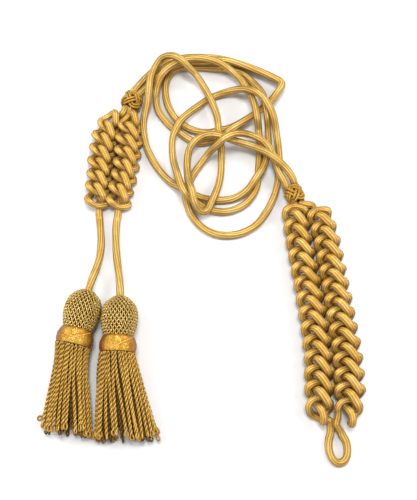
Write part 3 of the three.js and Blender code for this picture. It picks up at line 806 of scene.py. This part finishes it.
def woven_slider(name, node, size, start, direction):
    """A Turk's head of fine cord, two passes wide, over a dark core."""
    axis = LevelAxis(start, direction, size["diameter"] / 2 * FLAT)
    profile = slider_profile(size["mouth"] / size["diameter"])
    core = MeshParts()
    shares = np.linspace(0.1, 0.9, 15)
    turned(core, axis, shares * size["length"], outline_at(profile, size, shares) - KNOT_THREAD * 0.95, 32)
    core_piece = core.make(name + "_core", DARK_CORE_AND_PAINTED_SHADE)
    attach(core_piece, "root")
    parts = MeshParts()
    steps = 72 * KNOT_LEADS
    t = np.linspace(0, 2 * math.pi * KNOT_LEADS, steps, endpoint=False)
    swing = KNOT_BIGHTS / KNOT_LEADS
    middle = size["diameter"] / 2 - KNOT_THREAD
    half = size["length"] / 2 - KNOT_THREAD * (KNOT_PASSES / 2 + 0.1)
    for lane in range(KNOT_PASSES):
        aside = (lane - (KNOT_PASSES - 1) / 2) * KNOT_THREAD * KNOT_LANE
        flat = np.stack([t * middle, half * np.cos(swing * t)], axis=1)
        ahead = np.stack([np.full_like(t, middle), -half * swing * np.sin(swing * t)], axis=1)
        ahead /= np.linalg.norm(ahead, axis=1)[:, None]
        flat = flat + aside * np.stack([-ahead[:, 1], ahead[:, 0]], axis=1)
        along = size["length"] / 2 + flat[:, 1]
        out = outline_at(profile, size, np.clip(along / size["length"], 0, 1)) - KNOT_THREAD * KNOT_DEPTH
        out = out + KNOT_WEAVE * KNOT_THREAD * np.sin(2 * swing * t)
        line = axis.place(along, flat[:, 0] / middle, out, KNOT_THREAD / 2)
        line = np.vstack([line, line[:1]])
        parts.tube(line, KNOT_THREAD / 2, ribbed_section(3, 3, 0.12), 0.9, caps=False)
    piece = parts.make(name, KNOT_CORD)
    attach(piece, "root")
    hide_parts(node)


woven_slider("right_knot", "right_slider", RIGHT_SLIDER, [64.4, 33.4], [-0.38, 0.925])
woven_slider("left_knot", "left_slider", LEFT_SLIDER, [-59.6, 106.6], [0.41, 0.91])


# Tassels

HEAD_PROFILE = [
    (0, 0.34), (0.07, 0.56), (0.2, 0.83), (0.36, 0.96), (0.52, 1), (0.68, 0.98), (0.82, 0.92),
    (0.93, 0.85), (1, 0.8),
]
BAND_PROFILE = [(0, 0.8), (0.15, 0.9), (0.45, 0.99), (0.62, 1), (0.8, 0.99), (1, 0.93)]


def crocheted_head(name, node, start, direction, seed):
    """Rows of V stitches round an acorn."""
    chance = random.Random(seed)
    axis = LevelAxis(start, direction, HEAD["diameter"] / 2 * FLAT)
    shares = np.linspace(0, 1, 120)
    outline = smooth_line([[a, b] for a, b in HEAD_PROFILE], 12)

    def out_at(share):
        return np.interp(share, outline[:, 0], outline[:, 1]) * HEAD["diameter"] / 2

    core = MeshParts()
    core_shares = np.linspace(0, 1, 24)
    turned(core, axis, core_shares * HEAD["length"], out_at(core_shares) - STITCH_THREAD * 1.0, 40)
    core_piece = core.make(name + "_core", DARK_CORE_AND_PAINTED_SHADE)
    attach(core_piece, "root")
    edge = np.stack([shares * HEAD["length"], out_at(shares)], axis=1)
    down = np.concatenate([[0], np.cumsum(np.linalg.norm(np.diff(edge, axis=0), axis=1))])
    rows = int(round(down[-1] / STITCH_ROW))
    pitch = down[-1] / rows
    parts = MeshParts()
    for row in range(rows + 1):
        at = row * pitch * rows / (rows + 0.4) + 0.3
        radius = float(np.interp(at, down, edge[:, 1])) - STITCH_THREAD / 2
        count = max(9, int(round(2 * math.pi * radius / STITCH / 3) * 3))
        t = np.arange(count * 10 + 1) / 10 * 2 * math.pi
        start_turn = row * math.pi / count + 0.03 * chance.random()
        turn = start_turn + (t / (2 * math.pi) + 0.05 * np.sin(2 * t)) * 2 * math.pi / count
        reach = STITCH_REACH + 0.05 * np.sin(3 * turn + 2 * row)
        on_edge = np.clip(at + reach * pitch * np.cos(t) + 0.12 * np.sin(5 * turn + row), 0, down[-1])
        along = np.interp(on_edge, down, edge[:, 0])
        out = np.interp(on_edge, down, edge[:, 1]) - STITCH_THREAD / 2
        out = out + 0.3 * STITCH_THREAD * np.cos(t)
        line = axis.place(along, turn, out, STITCH_THREAD / 2)
        parts.tube(line, STITCH_THREAD / 2, ribbed_section(2, 3, 0.16), 1.6, caps=False)
    piece = parts.make(name, STITCH_CORD)
    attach(piece, "root")
    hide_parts(node)


def satin_band(name, node, start, direction, seed):
    """Satin thread wound round and round, with two threads crossing it slantwise."""
    chance = random.Random(seed)
    axis = LevelAxis(start, direction, BAND["diameter"] / 2 * FLAT)
    outline = smooth_line([[a, b] for a, b in BAND_PROFILE], 6)
    turn = np.linspace(0, 2 * math.pi, BAND_SIDES, endpoint=False)
    rows = np.vstack([[0, 0.01], outline, [1, 0.01]])
    along = rows[:, 0] * BAND["length"]
    uneven = np.zeros((len(rows), BAND_SIDES))
    for _ in range(BAND_WAVES):  # the turns of thread lie a little over and under one another
        waves_round, waves_along = chance.randint(8, 44), chance.uniform(-4, 4)
        shift = chance.uniform(0, 2 * math.pi)
        uneven += 0.011 * np.cos(waves_round * turn[None, :] + waves_along * along[:, None] + shift)
    out = rows[:, 1, None] * BAND["diameter"] / 2 - 0.12 + uneven * (rows[:, 1, None] > 0.1)
    corners = axis.place(along[:, None], turn[None, :], out)
    parts = MeshParts()
    parts.grid(corners, np.linspace(0, 1, BAND_SIDES + 1), along * MM)
    piece = parts.make(name, SATIN_THREAD)
    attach(piece, "root")
    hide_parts(node)
    crossing = MeshParts()
    for place, spread, first, last in [(-1.2, 1.5, 0.12, 0.94), (2.2, 1.2, 0.94, 0.2)]:
        share = np.linspace(first, last, 24)
        sweep = place + spread * np.linspace(0, 1, 24) ** 0.8
        out_line = np.interp(share, outline[:, 0], outline[:, 1]) * BAND["diameter"] / 2
        crossing.tube(axis.place(share * BAND["length"], sweep, out_line), CROSSING_RADIUS, np.ones(6))
    thread = crossing.make(name + "_crossing_thread", CROSSING_THREAD)
    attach(thread, "root")


def strand(parts, line, lay_start, steps_per_turn, sides):
    """Two plies twisted together, and open in a small loop at the free end."""
    line = even_line(line, PLY_LAY / steps_per_turn)
    ahead, across, up = frames_along(line)
    along = lengths_along(line)
    left = along[-1] - along
    twist = 2 * math.pi * np.minimum(along, along[-1] - END_LOOP * 0.8) / PLY_LAY + lay_start
    held = np.clip(left / END_LOOP, 0, 1)
    apart = PLY / 2 * PLY_SPREAD + LOOP_SPREAD * np.sin(math.pi * held) * (left < END_LOOP)
    apart = apart * np.sqrt(np.clip(left / 0.7, 0.02, 1))
    for way in (1, -1):
        outward = way * (across * np.cos(twist)[:, None] + up * np.sin(twist)[:, None])
        parts.tube(line + apart[:, None] * outward, PLY / 2, np.ones(sides), facing=outward)


def skirt_section(start, neck_direction, hem_direction, hem_half_width, flare, waist):
    """The skirt's middle line and outline, as a function of the share of its length."""
    neck = np.array([start[0], start[1], 0.0])
    from_neck = np.array([*neck_direction, 0.0]) / math.hypot(*neck_direction)
    to_hem = np.array([*hem_direction, 0.0]) / math.hypot(*hem_direction)
    bend = neck + from_neck * SKIRT_BEND * SKIRT_LENGTH
    hem = bend + to_hem * (1 - SKIRT_BEND) * SKIRT_LENGTH

    def at(share):
        share = np.asarray(share, float)[..., None]
        centre = (1 - share) ** 2 * neck + 2 * share * (1 - share) * bend + share ** 2 * hem
        ahead = 2 * (1 - share) * (bend - neck) + 2 * share * (hem - bend)
        ahead = ahead / np.linalg.norm(ahead, axis=-1)[..., None]
        share = share[..., 0]
        side = np.stack([-ahead[..., 1], ahead[..., 0], 0 * share], axis=-1)
        width = NECK_HALF_WIDTH + (hem_half_width - NECK_HALF_WIDTH) * share ** flare
        width = width - waist * np.sin(math.pi * np.clip(share * 1.2, 0, 1))
        depth = NECK_HALF_DEPTH + (HEM_HALF_DEPTH - NECK_HALF_DEPTH) * share
        return centre, side, width, depth

    return at


def painted_shade_in_skirt(name, section):
    """Painted shade: a dark sheet inside the skirt, in place of the shaded inside that shows between its
    strands.
    """
    core = MeshParts()
    share = np.linspace(0, 0.9, 14)
    centre, side, width, depth = section(share)
    turn = np.linspace(0, 2 * math.pi, 32, endpoint=False)
    out_w = np.clip(width - CORE_INSET, 0.1, None)[:, None] * np.cos(turn)[None, :]
    out_d = np.clip(depth - CORE_INSET, 0.1, None)[:, None] * np.sin(turn)[None, :]
    corners = (centre + SHIFT)[:, None, :] + side[:, None, :] * out_w[..., None]
    corners = corners + np.array([0, 0, 1.0]) * (out_d + depth[:, None])[..., None]
    ends = corners.mean(axis=1, keepdims=True)
    corners = np.concatenate([np.broadcast_to(ends[:1], corners[:1].shape), corners,
                              np.broadcast_to(ends[-1:], corners[-1:].shape)])
    core.grid(corners, np.linspace(0, 1, 33), np.linspace(0, 0.06, 16))
    core_piece = core.make(name + "_core", DARK_CORE_AND_PAINTED_SHADE)
    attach(core_piece, "root")


def strand_line(section, turn, inset, trim, chance):
    """The middle line of one strand, from the band down to its own uneven end."""
    reach = STRAND_REACH - chance.uniform(0.0, STRAND_UNEVEN) - trim * (1 - math.cos(turn)) / 2
    drift = chance.gauss(0, 0.05)
    wave = chance.uniform(0, 2 * math.pi)
    share = np.linspace(-0.02, reach, 15)
    centre, side, width, depth = section(np.clip(share, 0, 1.04))
    angle = turn + drift * share ** 2 * 2
    width = width - inset - PLY
    depth_out = depth - inset - PLY
    sway = STRAND_SWAY * np.sin(share * 5 + wave) * np.clip(share * 2, 0, 1)
    line = centre + SHIFT + side * (np.cos(angle) * width + sway)[:, None]
    line[:, 2] += depth + np.sin(angle) * depth_out
    line[:, 2] = np.maximum(line[:, 2], 1.6 * PLY)
    return smooth_line(line, 4)


def fringe(name, node, section, trim, strays, seed):
    """Two rows of strands round a dark sheet of painted shade, the inner row's thread painted darker as
    shade, and the few that lie apart.
    """
    painted_shade_in_skirt(name, section)
    chance = random.Random(seed)
    rows = [
        ("outer", OUTER_STRANDS, 0.0, 14, 8, FRINGE_THREAD),
        ("inner", INNER_STRANDS, 2.3, 10, 6, SHADED_FRINGE_THREAD),
    ]
    for row_name, count, inset, steps, sides, material in rows:
        parts = MeshParts()
        for i in range(count):
            turn = 2 * math.pi * (i + 0.25 * chance.uniform(-1, 1)) / count
            line = strand_line(section, turn, inset, trim, chance)
            strand(parts, line, chance.uniform(0, 6.28), steps, sides)
        if row_name == "outer":
            for points in strays:
                strand(parts, smooth_line(np.array(points, float) + SHIFT, 8), 1.0, steps, sides)
        piece = parts.make(f"{name}_{row_name}", material)
        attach(piece, "root")
    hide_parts(node)


def tassel(name, start, head_direction, hem_direction, hem_half_width, flare, waist, trim, strays, seed):
    """A head, a band and a skirt, one below the other on the head's own line."""
    length = math.hypot(*head_direction)
    axis = (head_direction[0] / length, head_direction[1] / length)

    def down(distance):
        return (start[0] + axis[0] * distance, start[1] + axis[1] * distance)

    band_start = HEAD["length"] + GAP
    skirt_start = band_start + BAND["length"] + GAP
    crocheted_head(name + "_head", "tassel_head_" + name, start, head_direction, seed)
    satin_band(name + "_band", "tassel_band_" + name, down(band_start), head_direction, seed + 1)
    section = skirt_section(down(skirt_start), head_direction, hem_direction, hem_half_width, flare, waist)
    fringe(name + "_fringe", "tassel_skirt_" + name, section, trim, strays, seed + 2)


LEFT_STRAYS = [
    [
        [-99.6, -81.3, 13], [-101.7, -90.3, 10], [-103.2, -98.6, 7], [-104.8, -105.7, 4.5],
        [-107.2, -110.6, 2.6], [-110.8, -115.1, 1.5], [-115, -118.5, 1.4],
    ],
]
RIGHT_STRAYS = [
    [
        [-52, -82.5, 12], [-49.8, -89.2, 9], [-46.5, -99, 6], [-42.8, -107, 4],
        [-39.1, -115.8, 2.4], [-36, -122.7, 1.6], [-33.3, -127.3, 1.4],
    ],
    [
        [-72.8, -74.4, 12], [-74.2, -83.5, 9], [-74.7, -92.6, 6], [-74.2, -103, 3.5],
        [-73.9, -113.5, 2], [-74.4, -122, 1.6], [-74.5, -129.2, 1.5],
    ],
]
tassel(
    "left", [-83, -32.4], [-0.22, -0.975], [-0.015, -1], LEFT_HEM_HALF_WIDTH, LEFT_FLARE, LEFT_WAIST,
    trim=0.03, strays=LEFT_STRAYS, seed=11,
)
tassel(
    "right", [-60.5, -36.6], [-0.02, -1], [0.14, -1], RIGHT_HEM_HALF_WIDTH, RIGHT_FLARE, RIGHT_WAIST,
    trim=0.05, strays=RIGHT_STRAYS, seed=23,
)


# Table and light

def pale_table():
    """A plain white table top, wide enough to fill the picture."""
    mesh = bpy.data.meshes.new("table_top")
    corners = [(x * TABLE_HALF, y * TABLE_HALF, 0) for x, y in ((-1, -1), (1, -1), (1, 1), (-1, 1))]
    mesh.from_pydata(corners, [], [(0, 1, 2, 3)])
    table = bpy.data.objects.new("table_top", mesh)
    bpy.context.scene.collection.objects.link(table)
    material = bpy.data.materials.new("white_table")
    material.use_nodes = True
    shader = material.node_tree.nodes["Principled BSDF"]
    shader.inputs["Base Color"].default_value = (TABLE_TONE, TABLE_TONE, TABLE_TONE, 1)
    shader.inputs["Roughness"].default_value = 0.6
    shader.inputs["Specular IOR Level"].default_value = 0.2
    mesh.materials.append(material)


def soft_light(name, spot, size, power):
    """A broad lamp that shines on the middle of the table."""
    data = bpy.data.lights.new(name, "AREA")
    data.shape = "RECTANGLE"
    data.size, data.size_y = size
    data.energy = power
    light = bpy.data.objects.new(name, data)
    bpy.context.scene.collection.objects.link(light)
    light.location = spot
    light.rotation_euler = (-Vector(spot)).to_track_quat("-Z", "Y").to_euler()


def studio():
    """A white room with a window on either side and a panel above."""
    world = bpy.data.worlds.new("room")
    bpy.context.scene.world = world
    world.use_nodes = True
    backdrop = world.node_tree.nodes["Background"]
    backdrop.inputs["Color"].default_value = (1, 1, 1, 1)
    backdrop.inputs["Strength"].default_value = ROOM_LIGHT
    soft_light("left_window", (-0.9, 0.25, 0.7), (0.6, 0.7), 8.0)
    soft_light("right_window", (0.9, 0.35, 0.75), (0.6, 0.7), 9.0)
    soft_light("top_panel", (0.0, 0.15, 1.1), (0.3, 0.3), 8.0)
    bpy.context.scene.view_settings.view_transform = "Standard"


pale_table()
studio()
